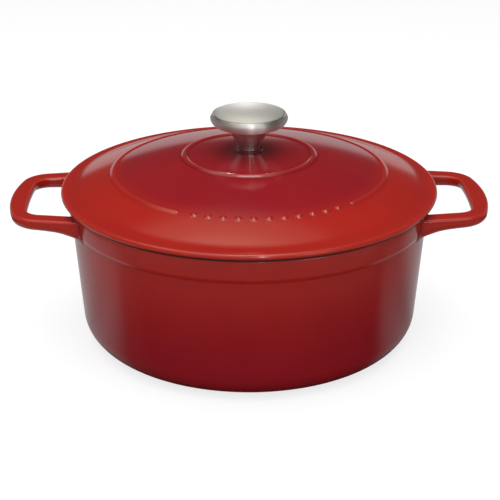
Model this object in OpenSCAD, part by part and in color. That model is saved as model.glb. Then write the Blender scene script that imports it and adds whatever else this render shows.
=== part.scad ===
// Round cast iron dutch oven with two loop handles, a domed lid and a steel knob.
// Millimetres. +Z is up, the handles lie along X, the gap in the lid's bead faces -Y,
// and the origin is the centre of the face that the pot stands on.

/* [Pot] */
// Height of the pot's rim above its base
pot_h = 101.5; // [90:0.5:130]
// Outer radius of the pot at its rim
pot_r = 122.5; // [120:0.5:124]
// Angle by which the wall leans outwards
wall_lean = 4.4; // [1:0.05:5]
// Thickness of the iron wall
wall_t = 3.8; // [3.4:0.1:4.6]
// Thickness of the iron floor
floor_t = 4.5; // [3.6:0.1:7]
// Radius of the round edge between wall and base
base_round = 20; // [14:0.5:26]
// Height of the raised collar below the rim
collar_h = 15; // [10:0.5:20]
// How far the collar stands out from the wall
collar_step = 0.8; // [0.4:0.1:1.2]
// Thickness of the enamel fired on the inside
enamel_t = 0.5; // [0.3:0.1:0.7]

/* [Handles] */
// From the rim to the outside of a handle
handle_out = 39.3; // [36:0.1:46]
// Width of a handle over its two legs, where they meet the bar
handle_w = 93; // [90:1:104]
// Width of the finger hole between the legs
hole_w = 69; // [60:1:72]
// Width of the grip bar at its middle
bar_w = 12.8; // [11:0.2:15]
// Thickness of the grip bar
handle_t = 7.5; // [6.8:0.1:9]
// From the rim down to a handle's top face
handle_drop = 3.4; // [3:0.1:8]
// How far each leg spreads towards the wall, as a slope
leg_spread = 0.16; // [0:0.01:0.25]
// Radius of a handle's upper edges
handle_edge = 1.7; // [1:0.1:1.8]
// Radius of a handle's lower edges
handle_under = 5; // [2:0.1:5]
// Depth of the root that runs down the wall under each leg
root_depth = 12; // [4:0.5:14]

/* [Lid] */
// How far the lid's lip stands out over the rim
lid_overhang = 4.5; // [4:0.5:8]
// Gap between the lid's seat and the rim that it rests on
seat_gap = 0.1; // [0.05:0.05:0.3]
// Height of the dome's crown above the seat
lid_rise = 28.7; // [22:0.1:36]
// Thickness of the dome with its lining
lid_t = 3.7; // [3.4:0.1:4.6]
// Thickness of the lip
lip_t = 3.8; // [3.2:0.1:4.4]
// Depth of the ring that centres the lid in the pot
centring_depth = 5; // [3:0.5:8]
// Gap between the centring ring and the pot
centring_gap = 1.6; // [0.8:0.1:2]
// Radius of the inner bead ring
inner_bead_r = 43.5; // [36:0.5:52]
// Height of the inner bead ring
inner_bead_h = 1.1; // [0.6:0.1:1.8]
// Radius of the outer bead ring
outer_bead_r = 91.7; // [82:0.5:98]
// Height of the outer bead ring
outer_bead_h = 0.8; // [0.5:0.1:1.2]
// Angle of the gap in the outer bead ring
bead_gap_angle = 76; // [60:1:100]
// Number of small studs in the gap
stud_count = 11; // [5:1:13]
// Angle by which the lid is turned on the rim
lid_turned = 7; // [-90:1:90]

/* [Knob] */
// Radius of the knob's cap
knob_r = 26; // [23:0.25:30]
// Height of the knob
knob_h = 29.1; // [27:0.1:34]
// Radius of the stem where it stands on the lid
stem_r = 7.2; // [7:0.1:8]
// Thickness of the knob's steel shell
shell_t = 1.2; // [0.8:0.1:1.4]

/* [Fasteners] */
// Diameter of the knob's screw
screw_d = 5.9; // [4.9:0.1:6]
// Gap between the screw's thread and its insert
thread_gap = 0.05; // [0.02:0.01:0.1]
// Gap between the screw and the hole in the lid
lid_hole_gap = 0.45; // [0.35:0.05:0.8]
// Thickness of the gasket under the knob
gasket_t = 0.8; // [0.5:0.1:1.5]

/* [Hidden] */
$fn = 96;

red_enamel = [0.64, 0.07, 0.08];
cream_enamel = [0.87, 0.83, 0.74];
steel = [0.72, 0.71, 0.69];
silicone = [0.12, 0.12, 0.13];

// Points of an arc about c, from angle a0 to angle a1 in n steps
function arc(c, r, a0, a1, n) =
    [for (i = [0:n]) let (a = a0 + (a1 - a0) * i / n) c + r * [cos(a), sin(a)]];

function reversed(points) = [for (i = [len(points) - 1:-1:0]) points[i]];

function without_first(points) = [for (i = [1:len(points) - 1]) points[i]];

function mix(a, b, f) = a * (1 - f) + b * f;

// ---- Pot: profiles are [radius, height] points ----

rim_round = 1.8;
rim_edge = 0.8;
cut = 1; // How far a cutter passes the face it cuts
lean_k = 1 / cos(wall_lean);

// Outer radius of the plain wall at height z
function wall_r(z) = pot_r - collar_step - (pot_h - z) * tan(wall_lean);

// A bowl t inside the plain wall, from the middle of its floor up to height z_top
function bowl(t, z_floor, round_r, z_top) =
    let (centre = [wall_r(z_floor + round_r) - (t + round_r) * lean_k, z_floor + round_r])
    concat([[0, z_floor]], arc(centre, round_r, -90, -wall_lean, 10), [[wall_r(z_top) - t * lean_k, z_top]]);

lining_top = pot_h - rim_edge;
collar_z = pot_h - collar_h;
iron_inside = bowl(wall_t, floor_t, base_round - wall_t, lining_top);
enamel_inside = bowl(wall_t + enamel_t, floor_t + enamel_t, base_round - wall_t - enamel_t, lining_top);
pot_outside = concat(
    bowl(0, 0, base_round, collar_z),
    [[wall_r(collar_z + collar_step) + collar_step, collar_z + collar_step]],
    arc([pot_r - rim_round, pot_h - rim_round], rim_round, 0, 90, 5),
    [[wall_r(lining_top) - wall_t * lean_k + rim_edge, pot_h]]);
mouth_r = wall_r(pot_h) - (wall_t + enamel_t) * lean_k;

// ---- Handle: a rounded bar swept round three sides of the finger hole ----

handle_top = pot_h - handle_drop;
handle_reach = pot_r + handle_out;
bar_x = handle_reach - bar_w;
bar_bow_r = 120;
hole_bow_r = 400;
outer_corner_r = 20;
hole_corner_r = 11;
root_sunk = 3;
root_fade = 5.6;
root_r = pot_r - root_sunk;
root_x = sqrt(pow(root_r, 2) - pow((handle_w + hole_w) / 4, 2));
under_slope = 0.03;
leg_steps = [0, 0.12, 0.25, 0.42, 0.65, 1];
corner_steps = 6;
bar_steps = 3;

// Centre of a corner arc that touches a bar of bow_r at x and a leg whose face is at y beside it
function corner_centre(x, y, bow_r, r) =
    let (c = y - r * norm([1, leg_spread])) [x - bow_r + sqrt(pow(bow_r - r, 2) - pow(c, 2)), c];

// Where a leg's face through point p, spreading towards the wall, meets a circle of radius r
function leg_root(p, r) =
    let (k = leg_spread, m = p.y + k * p.x, x = (m * k + sqrt((1 + k * k) * r * r - m * m)) / (1 + k * k))
    [x, m - k * x];

// One face of half a handle in plan, from its root to the middle of the bar
function half_outline(x, y, bow_r, r) =
    let (c = corner_centre(x, y, bow_r, r),
         leg_a = 90 - atan(leg_spread),
         bow_a = atan2(c.y, c.x - x + bow_r),
         turn = c + r * [cos(leg_a), sin(leg_a)],
         root = leg_root(turn, root_r))
    concat([for (f = leg_steps) mix(root, turn, f)],
        without_first(arc(c, r, leg_a, bow_a, corner_steps)),
        without_first(arc([x - bow_r, 0], bow_r, bow_a, 0, bar_steps)));

// The same face over the whole handle
function whole_outline(half) =
    concat(half, [for (i = [len(half) - 2:-1:0]) [half[i].x, -half[i].y]]);

// Height of the handle's underside: level at the bar, sweeping down to the root
function under_z(x) = handle_top - handle_t - under_slope * (handle_reach - x)
    - root_depth * exp((root_x - x) / root_fade);

// Section of the bar between hole face p and outer face q, its lower edges rounder than its upper ones
function section(p, q) =
    let (w = norm(q - p), z0 = under_z((p.x + q.x) / 2), e = handle_edge, u = handle_under,
         corners = concat(arc([w - u, z0 + u], u, -90, 0, 4), arc([w - e, handle_top - e], e, 0, 90, 2),
                          arc([e, handle_top - e], e, 90, 180, 2), arc([u, z0 + u], u, 180, 270, 4)))
    [for (c = corners) let (xy = mix(p, q, c.x / w)) [xy.x, xy.y, c.y]];

module handle() {
    outer = whole_outline(half_outline(handle_reach, handle_w / 2, bar_bow_r, outer_corner_r));
    hole = whole_outline(half_outline(bar_x, hole_w / 2, hole_bow_r, hole_corner_r));
    rings = [for (i = [0:len(outer) - 1]) section(hole[i], outer[i])];
    n = len(rings[0]);
    last = len(rings) - 1;
    skin = [for (i = [0:last - 1], j = [0:n - 1])
        let (a = i * n + j, b = i * n + (j + 1) % n)
        each [[a, a + n, b], [b, a + n, b + n]]];
    ends = [[for (j = [0:n - 1]) j], [for (j = [n - 1:-1:0]) last * n + j]];
    polyhedron([for (ring = rings) each ring], concat(skin, ends));
}

module pot() {
    color(red_enamel) union() {
        rotate_extrude() polygon(concat(pot_outside, reversed(iron_inside)));
        for (side = [0, 180]) rotate(side) handle();
    }
}

module pot_enamel_lining() {
    color(cream_enamel) rotate_extrude() polygon(concat(iron_inside, reversed(enamel_inside)));
}

// ---- Lid ----

lip_rise = 1.6;
flange_w = 8.5;
lid_r = pot_r + lid_overhang;
seat_z = pot_h + seat_gap;
flange_z = seat_z + lip_rise + lip_t;
crown_z = seat_z + lid_rise;
dome_foot_r = lid_r - flange_w;
dome_r = (pow(dome_foot_r, 2) + pow(crown_z - flange_z, 2)) / (2 * (crown_z - flange_z));
dome_c = crown_z - dome_r;
flange_blend = 12;
flange_r = sqrt(pow(dome_r + flange_blend, 2) - pow(flange_z + flange_blend - dome_c, 2));
boss_r = 8.8;
boss_rise = 0.5;
boss_edge = 0.4;
boss_z = crown_z + boss_rise;
land_r = 12;
land_z = dome_c + sqrt(pow(dome_r - lid_t, 2) - pow(land_r, 2));
ring_out = mouth_r - centring_gap;
ring_in = ring_out - lid_t;
ring_z = seat_z - centring_depth;
ring_edge = 1;
cove_r = 5;
seat_in = 1.5;
seat_r = pot_r - seat_in;
screw_hole_r = screw_d / 2 + lid_hole_gap;
outer_bead_w = 2.9;
inner_bead_w = 4.4;
bead_end_w = outer_bead_w + 0.8;
bead_end_h = outer_bead_h + 0.1;
stud_w = 4.4;
stud_h = 1;
stud_margin = 8;

// Height of the dome's outer face at radius r
function dome_z(r) = dome_c + sqrt(pow(dome_r, 2) - pow(r, 2));

// Angle of a dome point about the dome's centre, from the horizontal
function dome_angle(r, radius) = acos(r / radius);

// The lid's hollow side, t inside the finished enamel, from the land to the ring's foot
function hollow(t) =
    let (face_r = dome_r - lid_t + t,
         q = [ring_in - cove_r, dome_c + sqrt(pow(dome_r - lid_t - cove_r, 2) - pow(ring_in - cove_r, 2))],
         a = atan2(q.y - dome_c, q.x))
    concat(arc([0, dome_c], face_r, dome_angle(land_r, face_r), a, 16),
        without_first(arc(q, cove_r + t, a, 0, 6)), [[ring_in + t, ring_z]]);

// Radius of a ball or torus tube that stands h out of a face and is w wide there
function bead_tube(w, h) = (pow(w / 2, 2) + h * h) / (2 * h);

iron_hollow = hollow(enamel_t);
lid_outside = concat(
    [[0, ring_z], [0, boss_z], [boss_r - boss_edge, boss_z], [boss_r, boss_z - boss_edge]],
    arc([0, dome_c], dome_r, dome_angle(boss_r, dome_r),
        atan2(flange_z + flange_blend - dome_c, flange_r), 28),
    without_first(arc([flange_r, flange_z + flange_blend], flange_blend,
        270 - atan2(flange_r, flange_z + flange_blend - dome_c), 270, 4)),
    arc([lid_r - lip_t / 2, flange_z - lip_t / 2], lip_t / 2, 90, -90, 8),
    [[seat_r + lip_rise, seat_z + lip_rise], [seat_r, seat_z], [ring_out, seat_z], [ring_out, ring_z + ring_edge],
     [ring_out - ring_edge, ring_z]]);

// A round bar bent to radius r that stands h out of the dome
module bead_ring(r, w, h, start, angle) {
    tube = bead_tube(w, h);
    rotate_extrude(start = start, angle = angle)
        translate([r, dome_z(r) + h - tube]) circle(tube, $fn = 32);
}

module stud(r, a, w, h) {
    ball = bead_tube(w, h);
    rotate(a) translate([r, 0, dome_z(r) + h - ball]) sphere(ball, $fn = 32);
}

module lid() {
    gap_end = bead_gap_angle / 2;
    stud_step = (bead_gap_angle - 2 * stud_margin) / (stud_count - 1);
    color(red_enamel) rotate(lid_turned - 90) difference() {
        union() {
            rotate_extrude() polygon(lid_outside);
            bead_ring(inner_bead_r, inner_bead_w, inner_bead_h, 0, 360);
            bead_ring(outer_bead_r, outer_bead_w, outer_bead_h, gap_end, 360 - bead_gap_angle);
            for (a = [-gap_end, gap_end]) stud(outer_bead_r, a, bead_end_w, bead_end_h);
            for (i = [0:stud_count - 1])
                stud(outer_bead_r, (i - (stud_count - 1) / 2) * stud_step, stud_w, stud_h);
        }
        rotate_extrude() polygon(concat(
            [[0, ring_z - cut], [0, land_z], [land_r, land_z]], iron_hollow, [[ring_in + enamel_t, ring_z - cut]]));
        translate([0, 0, land_z - cut]) cylinder(r = screw_hole_r, h = boss_z - land_z + 2 * cut);
    }
}

module lid_enamel_lining() {
    color(cream_enamel) rotate_extrude() polygon(concat(iron_hollow, reversed(hollow(0))));
}

// ---- Knob, from its seat on the gasket upwards ----

knob_z = boss_z + gasket_t;
top_z = knob_z + knob_h;
cap_rise = 4.5;
cap_in = 1.45;
crease_r = knob_r - cap_in;
crease_z = top_z - cap_rise;
stem_flare = 7.6;
flare_start = 3;
neck_drop = 9.9;
neck_r = stem_r + stem_flare;
neck_z = crease_z - neck_drop;
edge_round = 5.6;
edge_z = neck_z + 7.2;
stem_wall = 1.6;
insert_h = 10;
bore_r = stem_r - stem_wall;
bore_top = knob_z + insert_h;
cap_ball = (pow(crease_r, 2) + pow(top_z - crease_z, 2)) / (2 * (top_z - crease_z));
cap_c = top_z - cap_ball;

// Radius gained by the flaring stem at height u above its foot, before it is scaled to the neck
function flare_at(u) = sqrt(u * u + flare_start * flare_start) - flare_start;

// Radius of the stem at height z
function stem_at(z) = stem_r + (neck_r - stem_r) * flare_at(z - knob_z) / flare_at(neck_z - knob_z);

// Corner of the crease where shell and cap meet, t inside their outer faces
function crease_in(t) = [crease_r - t * 0.9, crease_z - t * 0.3];

// The knob's outside below the crease, t inside its steel face
function knob_side(t, z_foot) =
    concat(
        [for (i = [0:8]) let (z = mix(z_foot, neck_z, i / 8)) [stem_at(z) - t, z + t * i / 8]],
        arc([knob_r - edge_round, edge_z], edge_round - t, -75, 0, 7),
        [crease_in(t)]);

module knob_stem_shell() {
    color(steel) rotate_extrude() polygon(concat(
        [[bore_r, knob_z]], knob_side(0, knob_z), reversed(knob_side(shell_t, bore_top)), [[bore_r, bore_top]]));
}

module knob_cap() {
    inner = crease_in(shell_t);
    color(steel) rotate_extrude() polygon(concat(
        arc([0, cap_c], cap_ball, 90, atan2(crease_z - cap_c, crease_r), 10),
        [inner],
        arc([0, cap_c], cap_ball - shell_t, atan2(inner.y - cap_c, inner.x), 90, 10)));
}

// A flat ring t thick that stands on height z
module ring(z, r, hole_r, t) {
    translate([0, 0, z]) difference() {
        cylinder(r = r, h = t);
        translate([0, 0, -cut]) cylinder(r = hole_r, h = t + 2 * cut);
    }
}

module knob_threaded_insert() {
    color(steel) ring(knob_z, bore_r, screw_d / 2 + thread_gap, insert_h);
}

module knob_gasket() {
    color(silicone) ring(boss_z, stem_r - gasket_in, screw_d / 2 + washer_gap, gasket_t);
}

// ---- Screw and washers under the lid ----

washer_r = 8.5;
washer_t = 1;
washer_gap = 0.2;
gasket_in = 0.2;
spring_r = 5.6;
spring_t = 1.4;
spring_gap = 0.15;
spring_split = 1.2;
head_r = 5.8;
head_h = 3.2;
head_side_h = 1.92;
head_edge = 0.8;
slot_w = 1.4;
slot_d = 1.6;
screw_short = 1;
head_z = land_z - washer_t - spring_t;

module flat_washer() {
    color(steel) ring(land_z - washer_t, washer_r, screw_d / 2 + washer_gap, washer_t);
}

module spring_lock_washer() {
    color(steel) difference() {
        ring(head_z, spring_r, screw_d / 2 + spring_gap, spring_t);
        translate([0, -spring_split / 2, head_z - cut]) cube([spring_r + cut, spring_split, spring_t + 2 * cut]);
    }
}

module knob_screw() {
    color(steel) difference() {
        union() {
            translate([0, 0, head_z - head_h])
                cylinder(r1 = head_r - head_edge, r2 = head_r, h = head_h - head_side_h);
            translate([0, 0, head_z - head_side_h]) cylinder(r = head_r, h = head_side_h);
            translate([0, 0, head_z]) cylinder(r = screw_d / 2, h = bore_top - screw_short - head_z);
        }
        translate([-head_r - cut, -slot_w / 2, head_z - head_h - cut])
            cube([2 * (head_r + cut), slot_w, slot_d + cut]);
    }
}

pot();
pot_enamel_lining();
lid();
lid_enamel_lining();
knob_gasket();
knob_stem_shell();
knob_cap();
knob_threaded_insert();
knob_screw();
flat_washer();
spring_lock_washer();
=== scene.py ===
"""Looks of the round cast iron dutch oven: enamelled castings, a brushed steel knob and a plain studio."""

import math

import bmesh
import bpy
import numpy as np
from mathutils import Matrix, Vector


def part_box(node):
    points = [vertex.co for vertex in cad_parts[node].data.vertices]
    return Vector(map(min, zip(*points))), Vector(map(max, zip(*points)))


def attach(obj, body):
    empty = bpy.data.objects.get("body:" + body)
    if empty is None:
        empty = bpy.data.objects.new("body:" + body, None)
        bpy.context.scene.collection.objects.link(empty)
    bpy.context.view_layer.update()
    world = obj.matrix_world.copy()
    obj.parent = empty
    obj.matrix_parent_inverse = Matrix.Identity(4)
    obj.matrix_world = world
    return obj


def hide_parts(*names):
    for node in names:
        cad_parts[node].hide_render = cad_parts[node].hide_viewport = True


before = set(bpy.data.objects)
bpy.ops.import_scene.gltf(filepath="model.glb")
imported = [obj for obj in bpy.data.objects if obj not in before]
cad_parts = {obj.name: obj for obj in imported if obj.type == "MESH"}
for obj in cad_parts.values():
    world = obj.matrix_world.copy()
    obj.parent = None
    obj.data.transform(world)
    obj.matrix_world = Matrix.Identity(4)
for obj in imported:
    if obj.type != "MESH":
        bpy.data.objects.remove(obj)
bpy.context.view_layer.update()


def corner(node, which):
    """Lowest (0) or highest (1) corner of a CAD node, in millimetres."""
    return np.array(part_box(node)[which]) * 1000


# ---- Sizes in millimetres. The main ones are read from the frame. ----

POT_H = corner("pot", 1)[2]
POT_R = corner("pot", 1)[1]
LEAN = math.radians(4.4)
SKEW = 1 / math.cos(LEAN)  # how far a leaning wall reaches on the level for each millimetre of thickness
WALL_T, FLOOR_T, ENAMEL_T = 3.8, 4.5, 0.5
BASE_ROUND = 20.0
FOOT_R, RECESS_R, RECESS, FOOT_SOFT = 86.0, 83.0, 0.5, 4.0
COLLAR_H, COLLAR_STEP = 15.0, 0.8
STEP_BELOW, STEP_ABOVE, STEP_SOFT = 0.8, 1.6, 3.0
RIM_ROUND, RIM_EDGE, RIM_SOFT = 1.8, 0.8, 0.4

REACH = corner("pot", 1)[0]
LEG_Y, HOLE_Y = 46.5, 34.5
OUTER_CORNER, HOLE_CORNER = 20.0, 11.0
OUTER_BOW, HOLE_BOW = 120.0, 400.0
SPREAD = 0.16
BAR_W, BAR_T, BAR_CROWN = 12.8, 7.5, 0.25
HANDLE_TOP = POT_H - 3.4
TOP_EDGE, LOW_EDGE = 1.7, 5.0
ROOT_FILLET = 1.6
ROOT_DEPTH, ROOT_FADE, UNDER_SLOPE = 12.0, 5.6, 0.03

LID_R = corner("lid", 1)[1]
RING_Z = corner("lid", 0)[2]
SEAT_Z = RING_Z + 5.0
LIP_T, LIP_RISE, FLANGE_W, BLEND = 3.8, 1.6, 8.5, 26.0
FLANGE_Z = SEAT_Z + LIP_RISE + LIP_T
BOSS_Z = corner("lid", 1)[2]
BOSS_R = 8.8
BOSS_TOP = BOSS_Z - 0.02
CROWN_Z = BOSS_Z - 0.5
LID_T = 3.7
INNER_BEAD_R, INNER_BEAD_H, INNER_BEAD_W = 43.5, 1.1, 2.7
OUTER_BEAD_R, OUTER_BEAD_H, OUTER_BEAD_W = 91.7, 0.8, 2.5
GAP_HALF = math.radians(38)
GAP_AT = math.radians(7 - 90)
STUDS, STUD_STEP = 11, math.radians(6)
STUD_R, STUD_H = 2.75, 1.0
FOOT_SINK, KEY_DEPTH = 0.006, 0.8  # a bead's or stud's edge lies under the dome, and its body reaches deeper

KNOB_Z = corner("knob_stem_shell", 0)[2]
KNOB_R = corner("knob_stem_shell", 1)[0]
TOP_Z = corner("knob_cap", 1)[2]
STEM_R, SHELL_T = 7.2, 1.2
KNOB_EDGE, EDGE_RISE = 5.6, 7.2

CASTING_TURNS, KNOB_TURNS = 300, 160
SHARP_ANGLE = math.radians(50)


# ---- Lines: every profile is an array of [radius, height] points ----

def arc(centre, radius, start, end, steps):
    """Points of a circle's arc, from angle start to angle end in degrees."""
    a = np.radians(np.linspace(start, end, steps + 1))
    return np.array(centre) + radius * np.stack([np.cos(a), np.sin(a)], 1)


def rounded(points, steps=6):
    """A line through [x, y, radius] corners with each corner rounded.

    The arc's centre lies on the corner's bisector, radius over the sine of the half angle away,
    and its points turn evenly from one tangent point to the other."""
    points = np.array(points, float)
    at, radius = points[1:-1, :2], points[1:-1, 2:]
    back = points[:-2, :2] - at
    ahead = points[2:, :2] - at
    back /= np.linalg.norm(back, axis=1, keepdims=True)
    ahead /= np.linalg.norm(ahead, axis=1, keepdims=True)
    bisector = back + ahead
    bisector /= np.linalg.norm(bisector, axis=1, keepdims=True)
    half = np.arccos(np.clip((back * ahead).sum(1, keepdims=True), -1, 1)) / 2
    radius = np.maximum(radius, 1e-4)
    centre = at + bisector * radius / np.sin(half)
    first = at + back * radius / np.tan(half) - centre
    last = at + ahead * radius / np.tan(half) - centre
    turn = np.maximum(math.pi - 2 * half, 1e-6)[:, None, :]
    k = np.linspace(0, 1, steps + 1)[None, :, None]
    curve = (np.sin((1 - k) * turn) * first[:, None] + np.sin(k * turn) * last[:, None]) / np.sin(turn)
    inner = (centre[:, None] + curve).reshape(-1, 2)
    return np.concatenate([points[:1, :2], inner, points[-1:, :2]])


def sharp(point):
    """A line's end point, as a corner that isn't rounded."""
    return [*point, 0]


def join(*lines):
    """Lines end to end."""
    return np.concatenate([np.atleast_2d(np.array(line, float)) for line in lines])


def spread(line, step, closed=False):
    """The same line with points added so that none is further than step from the next."""
    if closed:
        line = np.concatenate([line, line[:1]])
    length = np.linalg.norm(np.diff(line, axis=0), axis=1)
    keep = np.concatenate([[True], length > 1e-4])
    line = line[keep]
    length = np.linalg.norm(np.diff(line, axis=0), axis=1)
    count = np.maximum(np.ceil(length / step).astype(int), 1)
    index = np.repeat(np.arange(len(count)), count)
    within = np.arange(len(index)) - np.repeat(np.cumsum(count) - count, count)
    f = (within / count[index])[:, None]
    points = line[index] * (1 - f) + line[index + 1] * f
    return points if closed else np.concatenate([points, line[-1:]])


def bend(line, closed):
    """How sharply a line turns at each point, in radians per millimetre, left turns positive."""
    ahead = np.roll(line, -1, 0) - line
    behind = line - np.roll(line, 1, 0)
    cross = behind[:, 0] * ahead[:, 1] - behind[:, 1] * ahead[:, 0]
    dot = (behind * ahead).sum(1)
    length = (np.linalg.norm(ahead, axis=1) + np.linalg.norm(behind, axis=1)) / 2
    k = np.arctan2(cross, dot) / np.maximum(length, 0.15)
    if not closed:
        k[0] = k[-1] = 0
    for _ in range(2):
        k = (np.roll(k, 1) + 2 * k + np.roll(k, -1)) / 4
    return k


# ---- Shells: a shell is (points, faces, thin), thin being 1 on sharp edges and -1 in sharp hollows ----

def grid_faces(rows, columns, wrap_rows, wrap_columns):
    """Four-sided faces between neighbouring points of a grid."""
    i = np.arange(rows if wrap_rows else rows - 1)[:, None]
    j = np.arange(columns if wrap_columns else columns - 1)[None, :]
    i2, j2 = (i + 1) % rows, (j + 1) % columns
    corners = [i * columns + j, i * columns + j2, i2 * columns + j2, i2 * columns + j]
    return np.stack(corners, -1).reshape(-1, 4)


def revolve(line, turns, closed=True, facing=1):
    """A profile carried round the Z axis.

    x is the radius times the cosine of the turn, and y the radius times its sine."""
    a = np.arange(turns) * 2 * math.pi / turns
    r, z = line[:, :1], line[:, 1:]
    points = np.stack([r * np.cos(a), r * np.sin(a), np.broadcast_to(z, (len(line), turns))], -1)
    thin = np.clip(facing * bend(line, closed) / 0.5, -1, 1)
    return points.reshape(-1, 3), grid_faces(len(line), turns, closed, True), np.repeat(thin, turns)


def piece(name, shells, material, body, node):
    """One mesh from several closed shells, in metres, which stands for a CAD node.

    The shells' thin values are kept as an attribute."""
    start = np.cumsum([0] + [len(s[0]) for s in shells[:-1]])
    points = np.concatenate([s[0] for s in shells]) * 0.001
    faces = np.concatenate([s[1] + n for s, n in zip(shells, start)])
    thin = np.concatenate([s[2] for s in shells]).astype(np.float32)
    mesh = bpy.data.meshes.new(name)
    mesh.from_pydata(points.tolist(), [], faces.tolist())
    mesh.attributes.new("thin", "FLOAT", "POINT").data.foreach_set("value", thin)
    work = bmesh.new()
    work.from_mesh(mesh)
    bmesh.ops.remove_doubles(work, verts=work.verts, dist=2e-6)
    bmesh.ops.recalc_face_normals(work, faces=work.faces)
    work.to_mesh(mesh)
    work.free()
    mesh.polygons.foreach_set("use_smooth", np.ones(len(mesh.polygons), bool))
    mesh.set_sharp_from_angle(angle=SHARP_ANGLE)
    mesh.materials.append(material)
    made = bpy.data.objects.new(name, mesh)
    bpy.context.scene.collection.objects.link(made)
    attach(made, body)
    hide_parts(node)


# ---- Shader maths ----

class Wire:
    """An output socket. Python's operators on it add Math nodes."""

    def __init__(self, shader, socket):
        self.shader, self.socket = shader, socket

    def math(self, operation, *values, clamp=False):
        """A Math node on the values, in their order."""
        return self.shader.node("ShaderNodeMath", {"operation": operation, "use_clamp": clamp}, *values)

    def __add__(self, other):
        return self.math("ADD", self, other)

    def __sub__(self, other):
        return self.math("SUBTRACT", self, other)

    def __rsub__(self, other):
        return self.math("SUBTRACT", other, self)

    def __mul__(self, other):
        return self.math("MULTIPLY", self, other)

    def __truediv__(self, other):
        return self.math("DIVIDE", self, other)

    __radd__, __rmul__ = __add__, __mul__

    def root(self):
        """Its square root."""
        return self.math("SQRT", self)

    def at_least(self, least):
        """Itself, or least where it is smaller."""
        return self.math("MAXIMUM", self, least)

    def limit(self):
        """Kept between 0 and 1."""
        return self.math("ADD", self, 0.0, clamp=True)

    def step(self, low, high):
        """0 below low, 1 above high, and a smooth change between."""
        smooth = {"interpolation_type": "SMOOTHSTEP"}
        return self.shader.node("ShaderNodeMapRange", smooth, self, low, high, 0.0, 1.0)


class Shader:
    """A node tree with one method that adds any node."""

    def __init__(self, tree):
        self.tree = tree
        tree.nodes.clear()

    def node(self, kind, settings=None, *values, out=0, **named):
        """Adds a node: its settings first, then the values or wires of its sockets, by order or by name.

        A name has _ for a space, and _6 is the seventh socket."""
        made = self.tree.nodes.new(kind)
        for key, value in (settings or {}).items():
            setattr(made, key, value)
        pairs = list(zip(made.inputs, values))
        for name, value in named.items():
            key = int(name[1:]) if name[0] == "_" else name.replace("_", " ")
            pairs.append((made.inputs[key], value))
        for socket, value in pairs:
            if isinstance(value, Wire):
                self.tree.links.new(value.socket, socket)
            else:
                socket.default_value = value
        return Wire(self, made.outputs[out]) if made.outputs else made

    def mix(self, factor, a, b):
        """Colour a, turning into colour b as factor goes from 0 to 1."""
        return self.node("ShaderNodeMix", {"data_type": "RGBA"}, factor, _6=a, _7=b, out=2)

    def noise(self, scale, detail=2.0, offset=(0, 0, 0)):
        """Smooth noise from 0 to 1 whose lumps are about scale millimetres across."""
        size = (1000 / scale,) * 3
        at = self.node("ShaderNodeMapping", None, self.place(), Scale=size, Location=offset)
        return self.node("ShaderNodeTexNoise", None, Vector=at, Scale=1.0, Detail=detail, Roughness=0.5)

    def specks(self, scale, low, high):
        """1 in the middle of scattered dots and 0 past them: scale is the dots' number in a metre."""
        away = self.node("ShaderNodeTexVoronoi", {"feature": "F1"}, Vector=self.place(), Scale=scale)
        return 1.0 - away.step(low, high)

    def place(self):
        """Position on the object, in metres."""
        return self.node("ShaderNodeTexCoord", None, out=3)

    def split(self, vector):
        """A vector's x, y and z."""
        parts = self.node("ShaderNodeSeparateXYZ", None, vector).socket.node
        return [Wire(self, socket) for socket in parts.outputs]

    def axes(self):
        """Position as x, y and z in millimetres."""
        return [axis * 1000.0 for axis in self.split(self.place())]

    def height(self):
        """Height in millimetres."""
        return self.axes()[2]

    def radius(self):
        """Distance from the Z axis in millimetres."""
        x, y = self.axes()[:2]
        return (x * x + y * y).root()

    def thin(self):
        """The piece's thin value: 1 on sharp edges, -1 in sharp hollows."""
        return self.node("ShaderNodeAttribute", {"attribute_name": "thin"}, out=2)

    def rays(self):
        """1 for what the camera sees itself, and 1 for what a reflection sees."""
        path = self.node("ShaderNodeLightPath").socket.node
        return [Wire(self, path.outputs[name]) for name in ("Is Camera Ray", "Is Glossy Ray")]

    def bump(self, height, distance, onto=None):
        """A normal bent by a height, whose full range is distance in millimetres."""
        named = {"Normal": onto} if onto else {}
        return self.node("ShaderNodeBump", None, Distance=distance * 0.001, Height=height, **named)

    def finish(self, **named):
        """The Principled surface, with its output."""
        surface = self.node("ShaderNodeBsdfPrincipled", None, **named)
        self.node("ShaderNodeOutputMaterial", None, surface)


def shader(name):
    """A new material and its empty node tree."""
    made = bpy.data.materials.new(name)
    made.use_nodes = True
    return made, Shader(made.node_tree)


def rgb(r, g, b):
    """An opaque colour."""
    return (r, g, b, 1.0)


def tone(colour, share):
    """A colour darker or lighter by a share, up to white."""
    return rgb(*[min(c * share, 1) for c in colour])


# ---- Materials ----

CRIMSON = rgb(0.238, 0.0072, 0.0130)
FLAME = rgb(0.355, 0.0145, 0.0085)
THIN_FLAME = rgb(0.50, 0.045, 0.022)
# Dark red of pooling enamel and specks, also used as painted shade round the lid's knob.
POOLED_AND_SHADE = rgb(0.13, 0.0015, 0.004)
# Iron colour, also used as a painted shadow on the pot's rim under the lid's lip.
BARE_IRON_AND_SHADE = rgb(0.024, 0.016, 0.015)
DEEP_CREAM, PALE_CREAM = rgb(0.74, 0.69, 0.58), rgb(0.82, 0.78, 0.68)
CREAM_SPECK, CREAM_EDGE = rgb(0.30, 0.22, 0.14), rgb(0.42, 0.33, 0.24)
STEEL_CREASE_SHADE = rgb(0.20, 0.19, 0.18)
RUBBER, DUSTY_RUBBER = rgb(0.016, 0.016, 0.018), rgb(0.045, 0.044, 0.043)


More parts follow.
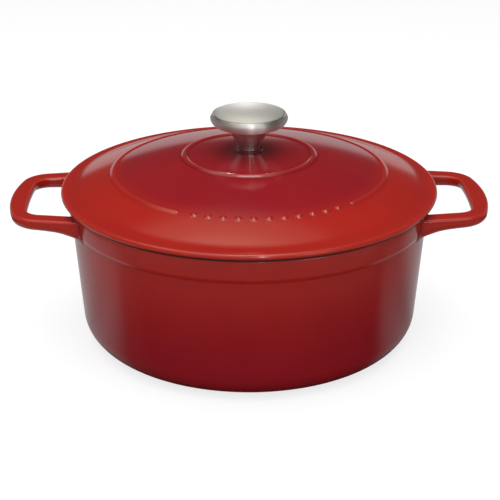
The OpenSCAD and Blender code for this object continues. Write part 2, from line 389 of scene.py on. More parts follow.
def red_enamel(name, shade, unenamelled_and_shade, darkened):
    """Glassy red enamel over cast iron.

    shade(nodes) says how far the colour has gone from crimson to flame. The second function says where the
    iron's own dark
    colour shows: unenamelled iron, and on the pot's rim also a painted shadow of the lid's lip. The third
    says where the
    colour darkens towards the dark red: painted shade round the lid's knob, and a darkening towards the pot's
    base. The coat is thinner and more orange on sharp edges and deeper in hollows, its colour drifts a little
    over centimetres, and its surface has a fine orange peel on a slow casting wave."""
    made, s = shader(name)
    drift = s.noise(45, 2)
    cloud = s.noise(9, 3, offset=(3.1, 1.7, 0.4))
    flame = (shade(s) + (drift - 0.5) * 0.5 + (cloud - 0.5) * 0.12).limit()
    thin = s.thin()
    # Darker red where the enamel pools in hollows, plus the painted shade round the lid's knob.
    pooling_and_shade = ((thin * -1.0).limit() * 0.6 + darkened(s)).limit()
    speck = s.specks(150.0, 0.035, 0.07) * s.noise(14, 0, offset=(7, 2, 5)).step(0.55, 0.62)
    iron = unenamelled_and_shade(s)
    colour = s.mix(flame, CRIMSON, FLAME)
    colour = s.mix(thin.limit() * 0.2, colour, THIN_FLAME)
    colour = s.mix(pooling_and_shade, colour, POOLED_AND_SHADE)
    colour = s.mix(speck * 0.55, colour, POOLED_AND_SHADE)
    # The iron's dark colour, which on the pot's rim also paints the shadow under the lid's lip.
    colour = s.mix(iron, colour, BARE_IRON_AND_SHADE)
    smear = s.noise(30, 3, offset=(1, 8, 3))
    rough = 0.09 + smear * 0.09 + iron.step(0.3, 0.8) * 0.55
    wave, peel = s.noise(34, 1, offset=(2, 6, 9)), s.noise(3.2, 1, offset=(5, 5, 1))
    grain = s.noise(0.7, 2) * iron
    normal = s.bump(grain, 0.12, onto=s.bump(peel, 0.005, onto=s.bump(wave, 0.07)))
    s.finish(Base_Color=colour, Roughness=rough, Normal=normal, IOR=1.5)
    return made


def pot_shade(s):
    """The pot's colour goes to flame towards its top and out along its handles."""
    return s.height().step(18, 102) * 0.85 + s.radius().step(122, 130) * 0.4


def pot_darker_base(s):
    """The pot's colour darkens a little towards its base."""
    return (1 - s.height().step(0, 14)) * 0.25


def pot_bare_and_lip_shade(s):
    """The pot's iron colour covers the top of its rim. The flat top is unenamelled iron. At 0.8, the colour
    reaches down onto the rounding below, which is partly its own iron and partly a painted shadow of the
    lid's lip. The iron colour also shows in worn patches under its foot.
    """
    z, r = s.height(), s.radius()
    # Top of the rim's rounding: partly its own iron, partly a painted shadow of the lid's lip.
    rim = z.step(POT_H - 1.15, POT_H - 0.95) * 0.8
    top = z.step(POT_H - 0.35, POT_H - 0.1) * (1 - r.step(POT_R - 2.0, POT_R - 1.5))
    foot = (1 - z.step(0.05, 0.35)) * s.noise(5, 3).step(0.35, 0.7)
    return (rim + top + foot * 0.6).limit()


def lid_shade(s):
    """The lid's colour goes to flame across its outer bead."""
    return s.radius().step(80, 100) * 0.85 + 0.12


def lid_knob_shade(s):
    """Painted shade round the knob: the lid's colour darkens towards the dark red near the boss."""
    return (1 - s.radius().step(8, 26)) * 0.55


def lid_bare(s):
    """The lid's iron shows on its seat and on the land round the screw."""
    z, r = s.height(), s.radius()
    seat = (1 - z.step(SEAT_Z + 0.3, SEAT_Z + 0.9)) * (1 - r.step(POT_R, POT_R + 1.0))
    land = (1 - z.step(LAND_Z + 0.3, LAND_Z + 0.6)) * (1 - r.step(LAND_R + 1.0, LAND_R + 1.6))
    return (seat + land).limit()


def cream_enamel(name):
    """Pale inner enamel: faint warm clouds, fine darker specks and a soft gloss."""
    made, s = shader(name)
    speck = s.specks(420.0, 0.06, 0.14) * s.noise(6, 1, offset=(4, 4, 4)).step(0.5, 0.6)
    colour = s.mix(s.noise(22, 3), DEEP_CREAM, PALE_CREAM)
    colour = s.mix(speck * 0.35, colour, CREAM_SPECK)
    colour = s.mix(s.thin().limit() * 0.35, colour, CREAM_EDGE)
    rough = 0.16 + s.noise(16, 2, offset=(2, 1, 8)) * 0.14
    wave, peel = s.noise(28, 1, offset=(9, 2, 2)), s.noise(2.6, 1)
    normal = s.bump(peel, 0.008, onto=s.bump(wave, 0.10))
    s.finish(Base_Color=colour, Roughness=rough, Normal=normal, IOR=1.5, Coat_Weight=0.6, Coat_Roughness=0.08)
    return made


def turned_steel(name, base, rough, line_mm, depth, stretch=0.0, sleek=0.0):
    """Steel brushed round the Z axis, whose highlights are stretched across the grain by stretch.

    The grain is noise that is stretched round the axis: its place is the radius and the height at full
    scale, with the direction of the radius at a small one. Below the knob's neck the surface is smoother
    by sleek."""
    made, s = shader(name)
    x, y, z = s.axes()
    r = s.radius()
    safe_r = r.at_least(0.4)
    east, north = x / safe_r * 0.9, y / safe_r * 0.9
    spun = s.node("ShaderNodeCombineXYZ", None, east + r / line_mm, north + z / line_mm, r / line_mm * 0.37)
    lines = s.node("ShaderNodeTexNoise", None, Vector=spun, Scale=1.0, Detail=3.0, Roughness=0.65)
    tint = s.mix((lines - 0.5) * 1.4 + 0.5, tone(base, 0.82), tone(base, 1.12))
    tint = s.mix(s.noise(7, 2) * 0.25, tint, tone(base, 0.86))
    # Painted shade: the steel is darkened in its creases and hollows.
    tint = s.mix((s.thin() * -1.0).limit() * 0.3, tint, STEEL_CREASE_SHADE)
    stem = 1.0 - z.step(NECK_Z - 1.5, NECK_Z + 0.5)
    roughness = (lines - 0.5) * 0.22 + rough - stem * sleek
    s.finish(Base_Color=tint, Metallic=1.0, Roughness=roughness, Normal=s.bump(lines, depth), IOR=2.5,
             Anisotropic=stretch, Anisotropic_Rotation=0.25)
    return made


def silicone(name):
    """Dark rubber: matt, with a fine moulded grain and a trace of dust."""
    made, s = shader(name)
    dust = s.noise(2.5, 3)
    colour = s.mix(dust, RUBBER, DUSTY_RUBBER)
    s.finish(Base_Color=colour, Roughness=0.55 + dust * 0.2, Normal=s.bump(s.noise(0.35, 2), 0.02))
    return made


# ---- The pot ----

def wall_r(z):
    """Outer radius of the plain wall at height z: the rim's radius less the lean."""
    return POT_R - COLLAR_STEP - (POT_H - z) * math.tan(LEAN)


LINING_TOP = POT_H - RIM_EDGE
COLLAR_Z = POT_H - COLLAR_H
INNER_EDGE = wall_r(LINING_TOP) - WALL_T * SKEW


def bowl(t, z_floor, round_r, z_top):
    """A bowl t inside the plain wall: flat floor, round edge and leaning side."""
    centre = [wall_r(z_floor + round_r) - (t + round_r) * SKEW, z_floor + round_r]
    edge = arc(centre, round_r, -90, -math.degrees(LEAN), 22)
    return join([0, z_floor], edge, [wall_r(z_top) - t * SKEW, z_top])


def pot_line():
    """Profile of the iron: foot ring, wall, collar, rim and inside, as one closed line."""
    outside = bowl(0, 0, BASE_ROUND, COLLAR_Z)
    foot = rounded([[0, RECESS, 0], [RECESS_R, RECESS, FOOT_SOFT], [FOOT_R, 0, FOOT_SOFT], sharp(outside[1])])
    low, high = COLLAR_Z - STEP_BELOW, COLLAR_Z + STEP_ABOVE
    collar = rounded([sharp(outside[-2]), [wall_r(low), low, STEP_SOFT],
                      [wall_r(high) + COLLAR_STEP, high, STEP_SOFT], [POT_R, POT_H - RIM_ROUND, 0]])
    rim = arc([POT_R - RIM_ROUND, POT_H - RIM_ROUND], RIM_ROUND, 0, 90, 12)
    inner = rounded([[POT_R - RIM_ROUND, POT_H, 0], [INNER_EDGE + RIM_EDGE, POT_H, RIM_SOFT],
                     [INNER_EDGE, LINING_TOP, RIM_SOFT], [INNER_EDGE - 0.7, LINING_TOP - 10, 0]])
    inside = bowl(WALL_T, FLOOR_T, BASE_ROUND - WALL_T, LINING_TOP)[::-1]
    return join(foot[:-1], outside[1:-1], collar[1:], rim[1:], inner[1:-1], inside[1:])


def lining_line():
    """Profile of the pale enamel inside, which rolls over the rim's inner edge."""
    back = bowl(WALL_T, FLOOR_T, BASE_ROUND - WALL_T, LINING_TOP)
    face = bowl(WALL_T + ENAMEL_T, FLOOR_T + ENAMEL_T, BASE_ROUND - WALL_T - ENAMEL_T, LINING_TOP - 0.6)
    roll = rounded([sharp(face[-2]), [*face[-1], 2.0], [INNER_EDGE + 0.35, POT_H - 0.12, 0.3],
                    [INNER_EDGE + 0.5, POT_H - 0.45, 0.1], [INNER_EDGE, LINING_TOP - 0.2, 0]])
    return join(back[:-1], roll[::-1][:-1], face[:-1][::-1])


# ---- The handles ----

# How far from the wall the rings of a leg lie: first inside it, then close together along the fillet.
LEG_LENGTH = 25.0
FROM_WALL = np.array([-3, -1.5, -0.5, 0, 0.03, 0.1, 0.2, 0.35, 0.55, 0.8, 1.15, 1.6, 2.2, 3, 4, 5.2, 6.6,
                      8.2, 10, 12, 14, 16, 18, 20, 22.5, 25])
CORNER_STEPS, BAR_STEPS = 26, 16
MEAN_Y = (LEG_Y + HOLE_Y) / 2
MEAN_WALL = math.sqrt(POT_R ** 2 - MEAN_Y ** 2)
ROOT_X = math.sqrt((POT_R - 3) ** 2 - MEAN_Y ** 2)


def bar_section(flat_steps=7, side_steps=5, turn=8):
    """Points round a bar's section, as (share across, share up, outward x, outward z)."""
    a = np.radians(np.linspace(0, 90, turn + 1))
    flat = np.linspace(0, 1, flat_steps + 2)[1:-1]
    rise = np.linspace(0, 1, side_steps + 2)[1:-1]
    one = np.ones_like
    right_low = np.stack([one(a), 0 * a, np.sin(a), -np.cos(a)], 1)
    right = np.stack([one(rise), rise, one(rise), 0 * rise], 1)
    right_top = np.stack([one(a), one(a), np.cos(a), np.sin(a)], 1)
    top = np.stack([1 - flat, one(flat), 0 * flat, one(flat)], 1)
    left_top = np.stack([0 * a, one(a), -np.sin(a), np.cos(a)], 1)
    left = np.stack([0 * rise, 1 - rise, -one(rise), 0 * rise], 1)
    left_low = np.stack([0 * a, 0 * a, -np.cos(a), -np.sin(a)], 1)
    low = np.stack([flat, 0 * flat, 0 * flat, -one(flat)], 1)
    return np.concatenate([right_low, right, right_top, top, left_top, left, left_low, low])


def face_line(x, y, bow_r, r):
    """One face of a handle in plan, from leg to leg: leg, corner arc, bowed bar, and the same mirrored.

    A leg leans outwards towards the pot by SPREAD, so the corner arc starts at that slope. The leg's points
    all lie at the arc's start, because it is the way to the wall that sets them apart."""
    lean = math.atan(SPREAD)
    low_y = y - r / math.cos(lean)
    centre = np.array([x - bow_r + math.sqrt((bow_r - r) ** 2 - low_y ** 2), low_y])
    bow_a = math.degrees(math.atan2(centre[1], centre[0] - x + bow_r))
    turn = arc(centre, r, 90 - math.degrees(lean), bow_a, CORNER_STEPS)
    leg = np.repeat(turn[:1], len(FROM_WALL), 0)
    bow = arc([x - bow_r, 0], bow_r, bow_a, 0, BAR_STEPS)[1:]
    half = np.concatenate([leg, turn[1:], bow])
    return np.concatenate([half, half[-2::-1] * [1, -1]])


def underside(mid_x):
    """Height of the bar's lowest edge.

    It falls slightly towards the pot, and near the wall by an exponential of the distance."""
    near = np.maximum(mid_x, MEAN_WALL - 1.0)
    root = ROOT_DEPTH * np.exp((ROOT_X - near) / ROOT_FADE)
    return HANDLE_TOP - BAR_T - UNDER_SLOPE * (REACH - mid_x) - root


def pot_side(z):
    """Outer radius of the pot at height z, with the collar's step as a soft S."""
    collar = 1 / (1 + np.exp(-(z - COLLAR_Z - 0.4) / 0.3))
    wall = POT_R - COLLAR_STEP * (1 - collar) - (POT_H - z) * math.tan(LEAN) * (1 - collar)
    return np.where(z > COLLAR_Z, np.minimum(wall, POT_R), wall)


def drawn_to_wall(plan, share, wall):
    """Points moved back towards the wall: at share 0 they lie on it, and at share 1 they stay.

    Each moves on a line along which y plus SPREAD times x stays the same. It meets the wall where x squared
    plus y squared is the wall's radius squared."""
    far_x, far_y = plan[..., 0], np.abs(plan[..., 1])
    same = far_y + SPREAD * far_x
    wall_x = (same * SPREAD + np.sqrt((1 + SPREAD ** 2) * wall ** 2 - same ** 2)) / (1 + SPREAD ** 2)
    x = wall_x + share * (far_x - wall_x)
    y = np.sign(plan[..., 1]) * (far_y + SPREAD * (far_x - x))
    return x, y


def end_faces(base, tip, columns):
    """Closes the ring of points that starts at base with the one point tip."""
    ring = base + np.arange(columns)
    tips = np.full(columns, tip)
    return np.stack([ring, np.roll(ring, -1), tips, tips], 1)


def handle(side):
    """A bar swept round three sides of the finger hole, out of the wall and back into it.

    Each ring is a rounded rectangle between the hole face and the outer face, with larger rounds below than
    above. On a leg a ring lies a share of the way from the wall's own surface to the corner, so near the
    root the rings follow the wall. Close to the wall a ring grows outwards by a quarter circle, which makes
    the fillet, and its underside drops, which makes the root."""
    outer = face_line(REACH, LEG_Y, OUTER_BOW, OUTER_CORNER)
    hole = face_line(REACH - BAR_W, HOLE_Y, HOLE_BOW, HOLE_CORNER)
    share = np.concatenate([FROM_WALL / LEG_LENGTH, np.ones(CORNER_STEPS + BAR_STEPS)])
    share = np.concatenate([share, share[-2::-1]])[:, None]
    from_wall = share * LEG_LENGTH
    to_go = ROOT_FILLET - np.clip(from_wall, 0, ROOT_FILLET)
    grow = ROOT_FILLET - np.sqrt(np.maximum(ROOT_FILLET ** 2 - to_go ** 2, 0))

    across, up, out_x, out_z = bar_section().T[:, None, :]
    edge = TOP_EDGE * up + LOW_EDGE * (1 - up)
    span = outer - hole
    width = np.linalg.norm(span, axis=1, keepdims=True)
    reach = edge + across * (width - 2 * edge) + out_x * (edge + grow)
    plan = hole[:, None, :] + span[:, None, :] * (reach / width)[..., None]
    mid_x = (hole[:, :1] + outer[:, :1]) / 2
    low = underside(MEAN_WALL + share * (mid_x - MEAN_WALL))
    z = low + LOW_EDGE + up * (HANDLE_TOP - low - LOW_EDGE - TOP_EDGE) + out_z * (edge + grow)
    crown = BAR_CROWN * ((2 * across - 1) ** 2) * (np.abs(out_z) > 0.99)
    z = z - crown * np.sign(out_z)
    x, y = drawn_to_wall(plan, share, pot_side(z))

    points = np.stack([x * side, y * side, z], -1)
    rows, columns = x.shape
    ends = np.stack([points[0].mean(0), points[-1].mean(0)])
    last, tip = (rows - 1) * columns, rows * columns
    faces = np.concatenate([grid_faces(rows, columns, False, True), end_faces(0, tip, columns),
                            end_faces(last, tip + 1, columns)])
    rounds = np.minimum(np.abs(out_x), np.abs(out_z)) > 0.02
    worn = np.clip(np.hypot(out_x, out_z) * rounds * 0.9, 0, 1)[0]
    thin = np.tile(worn, (rows, 1)) * np.clip((from_wall - 1) / 4, 0, 1)
    thin = thin - np.clip(1 - from_wall / ROOT_FILLET, 0, 1)
    return np.concatenate([points.reshape(-1, 3), ends]), faces, np.concatenate([thin.reshape(-1), [0, 0]])


# ---- The lid ----

DOME_FOOT = LID_R - FLANGE_W
DOME_R = (DOME_FOOT ** 2 + (CROWN_Z - FLANGE_Z) ** 2) / (2 * (CROWN_Z - FLANGE_Z))
DOME_C = CROWN_Z - DOME_R
FLANGE_R = math.sqrt((DOME_R + BLEND) ** 2 - (FLANGE_Z + BLEND - DOME_C) ** 2)
MOUTH_R = wall_r(POT_H) - (WALL_T + ENAMEL_T) * SKEW
RING_OUT = MOUTH_R - 1.6
RING_IN = RING_OUT - LID_T
COVE_R, LAND_R, HOLE_R = 5.0, 12.0, 3.4
LAND_Z = DOME_C + math.sqrt((DOME_R - LID_T) ** 2 - LAND_R ** 2)
SEAT_R = POT_R - 1.5


def dome_z(r):
    """The dome's height at radius r: its ball's centre plus the root of its radius squared less r squared."""
    return DOME_C + np.sqrt(DOME_R ** 2 - r ** 2)


def swell(q):
    """A soft bead's height from 1 at its middle to 0 at its foot: one less q squared, squared."""
    return np.maximum(1 - q * q, 0) ** 2


def hollow(t):
    """The lid's hollow side, t inside the finished enamel, from the land to the ring's foot."""
    face = DOME_R - LID_T + t
    cove_x = RING_IN - COVE_R
    cove_z = DOME_C + math.sqrt((DOME_R - LID_T - COVE_R) ** 2 - cove_x ** 2)
    cove_a = math.degrees(math.atan2(cove_z - DOME_C, cove_x))
    dome = arc([0, DOME_C], face, math.degrees(math.acos(LAND_R / face)), cove_a, 30)
    cove = arc([cove_x, cove_z], COVE_R + t, cove_a, 0, 10)
    return join(dome, cove[1:], [RING_IN + t, RING_Z])


def dome_line(end):
    """The dome's profile from the boss out to radius end, with the inner bead square to its slope."""
    bead = np.linspace(-1, 1, 33) * INNER_BEAD_W + INNER_BEAD_R
    r = np.concatenate([np.linspace(BOSS_R + 2.5, bead[0] - 1, 14), bead, np.linspace(bead[-1] + 1, end, 40)])
    rise = INNER_BEAD_H * swell((r - INNER_BEAD_R) / INNER_BEAD_W)
    slope = r / DOME_R
    return np.stack([r + rise * slope, dome_z(r) + rise * np.sqrt(1 - slope ** 2)], 1)


def lid_line():
    """Profile of the iron lid: boss, dome with its inner bead, edge, lip, seat, ring and hollow side."""
    blend_a = 270 - math.degrees(math.atan2(FLANGE_R, FLANGE_Z + BLEND - DOME_C))
    blend = arc([FLANGE_R, FLANGE_Z + BLEND], BLEND, blend_a, 270, 10)
    dome = dome_line(blend[0, 0] - 0.5)
    boss = rounded([[HOLE_R, BOSS_Z - 2, 0], [HOLE_R, BOSS_TOP, 0.3], [BOSS_R, BOSS_TOP, 0.55],
                    [BOSS_R, dome_z(BOSS_R), 0.9], sharp(dome[0])])
    lip = arc([LID_R - LIP_T / 2, FLANGE_Z - LIP_T / 2], LIP_T / 2, 90, -90, 20)
    under = rounded([sharp(lip[-1]), [SEAT_R + LIP_RISE, SEAT_Z + LIP_RISE, 0.8], [SEAT_R, SEAT_Z, 0.6],
                     [RING_OUT, SEAT_Z, 0.6], [RING_OUT, RING_Z, 1.0], [RING_IN + ENAMEL_T, RING_Z, 0.5],
                     [RING_IN + ENAMEL_T, RING_Z + 3, 0]])
    inside = hollow(ENAMEL_T)[:-1][::-1]
    land = rounded([sharp(inside[-1]), [LAND_R, LAND_Z, 0.4], [HOLE_R, LAND_Z, 0.3], [HOLE_R, BOSS_Z - 2, 0]])
    return join(boss[1:], dome[1:], blend, lip, under[1:-1], inside, land[1:])


def lid_lining_line():
    """Profile of the pale enamel under the lid, which wraps round the centring ring."""
    back = hollow(ENAMEL_T)
    face = hollow(0)[:-1]
    skin = 0.12
    wrap = rounded([[RING_IN, RING_Z + 3, 0], [RING_IN, RING_Z - skin, 0.9],
                    [RING_OUT + skin, RING_Z - skin, 1.1], [RING_OUT + skin, SEAT_Z - 0.6, 0.1],
                    [RING_OUT - 0.3, SEAT_Z - 0.7, 0.1], [RING_OUT - 0.5, RING_Z + 0.8, 0.2],
                    [RING_IN + ENAMEL_T + 0.3, RING_Z + 0.8, 0.1], sharp(back[-2])])
    return join(face, wrap[1:-1], back[:-1][::-1])


def flat_end(base, columns):
    """Closes the end of a flat loop: its first half faces its second half, point for point."""
    i = np.arange(columns // 2 - 1)
    return base + np.stack([i, i + 1, columns - 2 - i, columns - 1 - i], 1)


def outer_bead():
    """A bead round the dome with a gap, its ends round in plan.

    Past each end of the bead's middle line the half width is the root of its full value squared less the
    distance squared, and the height follows the distance from that line."""
    half_length = OUTER_BEAD_R * (math.pi - GAP_HALF)
    end = OUTER_BEAD_W * np.sin(np.linspace(0, math.pi / 2, 12))
    middle = np.linspace(-half_length, half_length, 400)
    along = np.concatenate([-half_length - end[:0:-1], middle, half_length + end[1:]])[:, None]
    past = np.maximum(np.abs(along) - half_length, 0)
    half_width = np.sqrt(np.maximum(OUTER_BEAD_W ** 2 - past ** 2, 0))
    offset = np.linspace(-1, 1, 17)[None, :] * half_width
    distance = np.hypot(offset, past)
    angle = GAP_AT + math.pi + along / OUTER_BEAD_R
    r = OUTER_BEAD_R + offset
    rise = OUTER_BEAD_H * swell(distance / OUTER_BEAD_W) - FOOT_SINK
    top = np.stack([r * np.cos(angle), r * np.sin(angle), dome_z(r) + rise], -1)
    under = top - [0, 0, KEY_DEPTH]
    loop = np.concatenate([top, under[:, ::-1]], 1)
    rows, columns = loop.shape[:2]
    faces = np.concatenate([grid_faces(rows, columns, False, True), flat_end(0, columns),
                            flat_end((rows - 1) * columns, columns)])
    thin = 0.9 * swell(distance * 1.3 / OUTER_BEAD_W) - 0.35 * (distance > 0.75 * OUTER_BEAD_W)
    return loop.reshape(-1, 3), faces, np.concatenate([thin, 0 * thin], 1).reshape(-1)


def stud(at, top_rings=10, under_rings=4, turns=28):
    """A small round stud on the dome: its height is swell of the distance from its middle."""
    q = np.concatenate([np.linspace(0, 1, top_rings), np.linspace(1, 0, under_rings)])[:, None]
    a = np.arange(turns)[None, :] * 2 * math.pi / turns
    radial, tangent = OUTER_BEAD_R + q * STUD_R * np.cos(a), q * STUD_R * np.sin(a)
    rise = STUD_H * swell(q) - FOOT_SINK
    rise[top_rings:] -= KEY_DEPTH
    x = radial * math.cos(at) - tangent * math.sin(at)
    y = radial * math.sin(at) + tangent * math.cos(at)
    z = dome_z(np.hypot(radial, tangent)) + rise
    thin = np.repeat(0.9 * swell(q[:, 0] * 1.2), turns)
    return np.stack([x, y, z], -1).reshape(-1, 3), grid_faces(len(q), turns, False, True), thin


# ---- The knob ----

CAP_RISE = 4.5
CREASE_R, CREASE_Z = KNOB_R - 1.45, TOP_Z - CAP_RISE
NECK_R, NECK_Z = STEM_R + 7.6, CREASE_Z - 9.9
BORE_R, BORE_TOP = STEM_R - 1.6, KNOB_Z + 10
CAP_BALL = (CREASE_R ** 2 + CAP_RISE ** 2) / (2 * CAP_RISE)
CAP_C = TOP_Z - CAP_BALL


def flare(u):
    """What the stem has gained at height u: the root of u squared plus nine, less three."""
    return np.sqrt(u * u + 9) - 3


def knob_side(t, z_foot):
    """The knob's outside below the crease, t inside its face: flaring stem, shallow cone and round edge."""
    f = np.linspace(0, 1, 25)
    z = z_foot * (1 - f) + NECK_Z * f
    stem = STEM_R + (NECK_R - STEM_R) * flare(z - KNOB_Z) / flare(NECK_Z - KNOB_Z)
    edge = arc([KNOB_R - KNOB_EDGE, NECK_Z + EDGE_RISE], KNOB_EDGE - t, -75, 0, 22)
    return join(np.stack([stem - t, z + t * f], 1), edge, [CREASE_R - 0.9 * t, CREASE_Z - 0.3 * t])


def shell_line():
    """Profile of the stem and the knob's underside, with a small round at its foot and at the crease."""
    outside = knob_side(0, KNOB_Z)
    crease = rounded([sharp(outside[-2]), [CREASE_R + 0.05, CREASE_Z - 0.02, 0.5],
                      [CREASE_R - 1.0, CREASE_Z - 0.3, 0]])
    foot = rounded([[BORE_R, KNOB_Z + 2, 0], [BORE_R, KNOB_Z, 0.2], [STEM_R, KNOB_Z, 0.35],
                    sharp(outside[1])])
    inside = knob_side(SHELL_T, BORE_TOP)[::-1]
    return join(foot[1:], outside[2:-2], crease, inside[1:], [BORE_R, BORE_TOP], [BORE_R, KNOB_Z + 2])


def cap_line():
    """Profile of the cap: a shallow dome with a soft edge that sits in the crease."""
    edge_a = math.degrees(math.atan2(CREASE_Z - CAP_C, CREASE_R))
    top = arc([0, CAP_C], CAP_BALL, 90, edge_a + 0.35, 26)
    rim = rounded([sharp(top[-1]), [CREASE_R - 0.02, CREASE_Z + 0.02, 0.3],
                   [CREASE_R - 1.0, CREASE_Z - 0.28, 0.1], [CREASE_R - 1.6, CREASE_Z - 0.6, 0]])
    under = arc([0, CAP_C], CAP_BALL - SHELL_T, edge_a + 1.3, 90, 12)
    return join(top[:-1], rim[1:-1], under)


# ---- The pieces ----

pot_red = red_enamel("shaded_red_enamel_pot", pot_shade, pot_bare_and_lip_shade, pot_darker_base)
lid_red = red_enamel("shaded_red_enamel_lid", lid_shade, lid_bare, lid_knob_shade)
cream = cream_enamel("fired_cream_enamel")
satin = turned_steel("satin_steel", (0.90, 0.89, 0.87), 0.55, 0.16, 0.003)
brushed = turned_steel("brushed_steel", (0.86, 0.845, 0.825), 0.50, 0.16, 0.004, stretch=0.9, sleek=0.20)
machined = turned_steel("machined_steel", (0.55, 0.55, 0.54), 0.24, 0.25, 0.006)
rubber = silicone("gasket_silicone")

pot_shells = [revolve(spread(pot_line(), 7.0), CASTING_TURNS, closed=False), handle(1), handle(-1)]
lid_shells = [revolve(spread(lid_line(), 4.0, closed=True), CASTING_TURNS, facing=-1), outer_bead()]
lid_shells += [stud(GAP_AT + (i - (STUDS - 1) / 2) * STUD_STEP) for i in range(STUDS)]
pot_skin = revolve(spread(lining_line(), 7.0), CASTING_TURNS, closed=False)
lid_skin = revolve(spread(lid_lining_line(), 5.0, closed=True), CASTING_TURNS, facing=-1)
knob_shell = revolve(spread(shell_line(), 1.5, closed=True), KNOB_TURNS)
knob_top = revolve(spread(cap_line(), 1.5), KNOB_TURNS, closed=False)

piece("pot_casting", pot_shells, pot_red, "pot", "pot")
piece("pot_lining", [pot_skin], cream, "pot", "pot_enamel_lining")
piece("lid_casting", lid_shells, lid_red, "lid", "lid")
piece("lid_lining", [lid_skin], cream, "lid", "lid_enamel_lining")
piece("knob_shell", [knob_shell], brushed, "knob", "knob_stem_shell")
piece("knob_top", [knob_top], satin, "knob", "knob_cap")

for node, finish in (("knob_threaded_insert", machined), ("knob_screw", machined), ("flat_washer", machined),
                     ("spring_lock_washer", machined), ("knob_gasket", rubber)):
    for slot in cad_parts[node].material_slots:
        slot.material = finish


# ---- Studio, in metres ----

def add(name, data):
    """A new object in the scene."""
    made = bpy.data.objects.new(name, data)
    bpy.context.scene.collection.objects.link(made)
    return made


def aim(thing, at, target):
    """Puts a lamp or camera at a point, looking at another."""
    thing.location = at
    away = np.array(target) - np.array(at)
    flat = math.hypot(away[0], away[1])
    thing.rotation_euler = (math.pi / 2 + math.atan2(away[2], flat), 0, math.atan2(-away[0], away[1]))


def softbox(name, at, target, size, power, mirrored=False):
    """A rectangular lamp. A mirrored one shows in reflections only, and the others not at all in them."""
    lamp = bpy.data.lights.new(name, "AREA")
    lamp.shape, lamp.energy = "RECTANGLE", power
    lamp.size, lamp.size_y = size
    made = add(name, lamp)
    aim(made, at, target)
    made.visible_glossy, made.visible_diffuse = mirrored, not mirrored


def beam(name, at, target, width, power):
    """A narrow beam with a soft edge, which shows in reflections only."""
    lamp = bpy.data.lights.new(name, "SPOT")
    lamp.spot_size, lamp.spot_blend, lamp.shadow_soft_size, lamp.energy = width, 0.3, 0.008, power
    made = add(name, lamp)
    aim(made, at, target)
    made.visible_diffuse = False


def table_glow(s, seen, gloss):
    """What the table adds of its own light.

    The eye sees it white. Reflections see it pale behind the object but for a dim ring a little way out,
    with a pale strip more at its sides, and less pale in front."""
    x, y = [axis / 1000.0 for axis in s.axes()[:2]]
    away = (x * x + y * y).root()
    beside = y.step(-0.083, -0.058) * (1.0 - y.step(-0.05, 0.0)) * (1.0 - away.step(0.15, 0.27) * 0.65) * 0.24
    dim = 1.0 - away.step(0.28, 0.34) * (1.0 - away.step(0.42, 0.52))
    behind = ((y - x * 0.12).step(-0.11, 0.05) * 0.5 * dim + beside) * away.step(0.10, 0.125)
    before = (1 - y.step(-0.15, 0.0)) * away.step(0.17, 0.30) * 0.24
    return seen * 0.76 + gloss * (behind + before)


def studio_floor(turns=96):
    """A wide round table. Where nothing shades it the eye sees it white."""
    a = np.arange(turns) * 2 * math.pi / turns
    radii = np.array([0, 0.3, 1, 4.0])[:, None]
    rings = len(radii)
    points = np.stack([radii * np.cos(a), radii * np.sin(a), np.full((rings, turns), -0.0002)], -1)
    faces = grid_faces(rings, turns, False, True)[:, ::-1]
    mesh = bpy.data.meshes.new("studio_floor")
    mesh.from_pydata(points.reshape(-1, 3).tolist(), [], faces.tolist())
    made, s = shader("studio_floor")
    seen, gloss = s.rays()
    paper = s.mix(s.noise(300, 2), rgb(0.48, 0.48, 0.48), rgb(0.52, 0.52, 0.52))
    paper = s.mix(seen, paper, rgb(0.30, 0.30, 0.30))
    paper = s.mix(gloss, paper, rgb(0.02, 0.02, 0.02))
    lit = s.node("ShaderNodeBsdfDiffuse", None, paper)
    shine = s.node("ShaderNodeEmission", None, rgb(1, 1, 1), table_glow(s, seen, gloss))
    s.node("ShaderNodeOutputMaterial", None, s.node("ShaderNodeAddShader", None, lit, shine))
    mesh.materials.append(made)
    add("studio_floor", mesh)


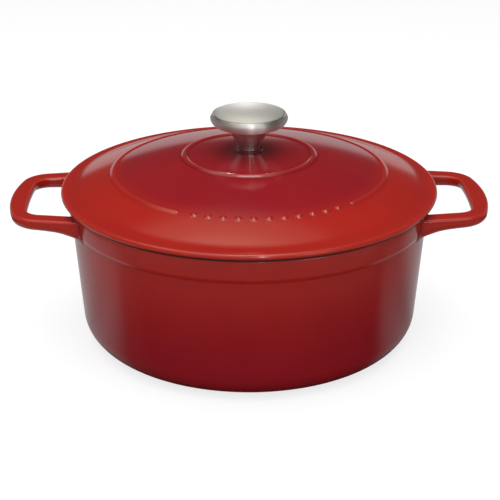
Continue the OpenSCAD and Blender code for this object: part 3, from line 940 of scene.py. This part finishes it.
def studio_world():
    """Even pale light, white to the eye.

    Reflections see it pale near the horizon, most of all behind, pale again high in front, palest and a
    little warm far up, less so right overhead, and dim between."""
    world = bpy.data.worlds.new("studio")
    world.use_nodes = True
    bpy.context.scene.world = world
    s = Shader(world.node_tree)
    seen, gloss = s.rays()
    x, y, z = s.split(s.node("ShaderNodeTexCoord", None, out=0))
    up = z - x * 0.15
    low = (0.12 + y.step(-0.6, 0.3) * 0.38) * (1 - z.step(0.09, 0.165))
    high = up.step(0.75, 0.86) * 0.62 + up.step(0.86, 0.92) * (1.0 - up.step(0.93, 0.98) * 0.45) * 1.1
    front = (1 - y.step(-0.8, -0.35)) * z.step(0.2, 0.45) * 0.8
    level = seen * 1.0 + (1 - seen) * (gloss * (0.05 + low + high + front) + (1 - gloss) * 0.42)
    warmth = gloss * up.step(0.75, 0.85) * (1.0 - up.step(0.93, 0.98))
    tint = s.mix(warmth, rgb(1, 1, 1), rgb(1.0, 0.93, 0.73))
    s.node("ShaderNodeOutputWorld", None, s.node("ShaderNodeBackground", None, tint, level))


def place_camera():
    """A long lens that looks down on the middle of the pot from in front, a little from the left."""
    down, turn, away, middle = math.radians(22.9), math.radians(0.86), 0.9761, 0.05704
    lens = bpy.data.cameras.new("camera")
    lens.sensor_width, lens.lens, lens.shift_x = 36, 101.35, 0.0018
    camera = add("camera", lens)
    at = (-away * math.cos(down) * math.sin(turn), -away * math.cos(down) * math.cos(turn),
          middle + away * math.sin(down))
    aim(camera, at, (0, 0, middle))
    bpy.context.scene.camera = camera


studio_world()
studio_floor()
softbox("overhead_softbox", (-0.05, -0.16, 1.15), (-0.05, -0.16, 0), (1.4, 1.5), 13)
softbox("front_softbox", (-0.2, -1.45, 0.8), (0, 0, 0.06), (0.9, 0.7), 7)
softbox("high_glow", (0, -0.16, 1.15), (0, -0.10, 0.12), (0.40, 0.2), 1.5, mirrored=True)
softbox("front_strip", (0.14, -1.2, 0.60), (0, 0, 0.14), (0.06, 0.5), 2.2, mirrored=True)
softbox("side_strip", (0.90, -1.2, 0.45), (0, 0, 0.12), (0.45, 0.15), 1.8, mirrored=True)
beam("knob_beam", (0, 0.95, 0.36), (0, 0, 0.166), math.radians(3.8), 2.6)
place_camera()
bpy.context.scene.view_settings.view_transform = "Standard"
